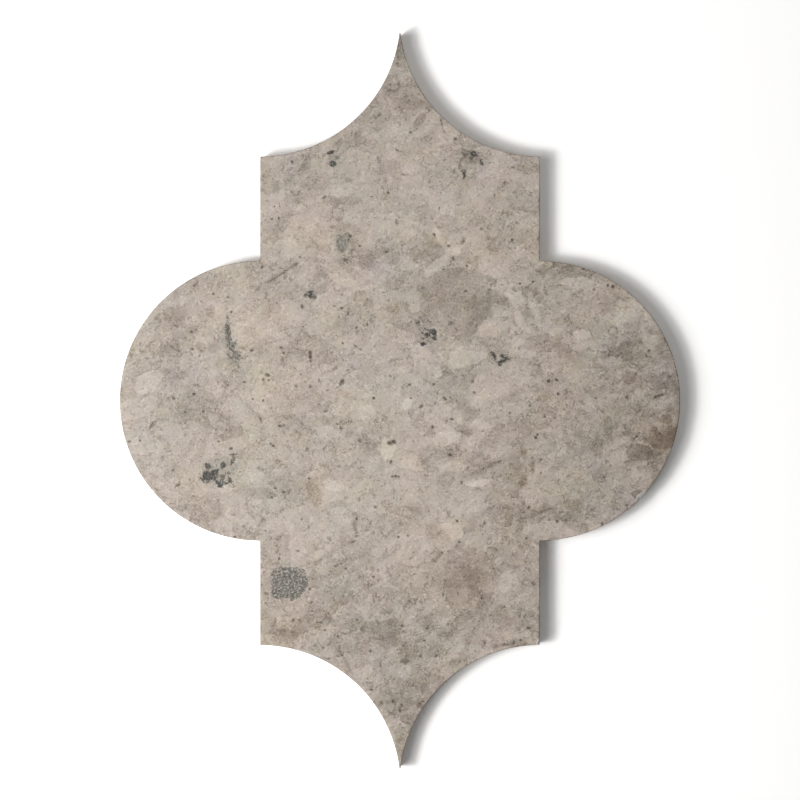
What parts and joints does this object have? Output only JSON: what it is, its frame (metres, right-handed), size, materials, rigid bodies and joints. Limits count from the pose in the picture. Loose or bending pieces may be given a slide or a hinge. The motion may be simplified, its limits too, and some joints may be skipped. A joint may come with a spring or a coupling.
{
  "type": "moroccan arabesque tile",
  "caption": "Flat honed stone tile in an arabesque outline, with rounded side lobes, pointed ends and hollow corners that take the lobes of the tiles laid beside it.",
  "frame": {"origin": "middle of the sawn back, the face that is bedded", "axes": "+Z out of the honed face, +Y towards one point, +X towards one side lobe"},
  "size_m": [0.2324, 0.3052, 0.01],
  "materials": {
    "limestone": "honed grey-beige limestone with fossil and mineral specks"
  },
  "bodies": {
    "root": {"tile": "limestone"}
  },
  "joints": []
}
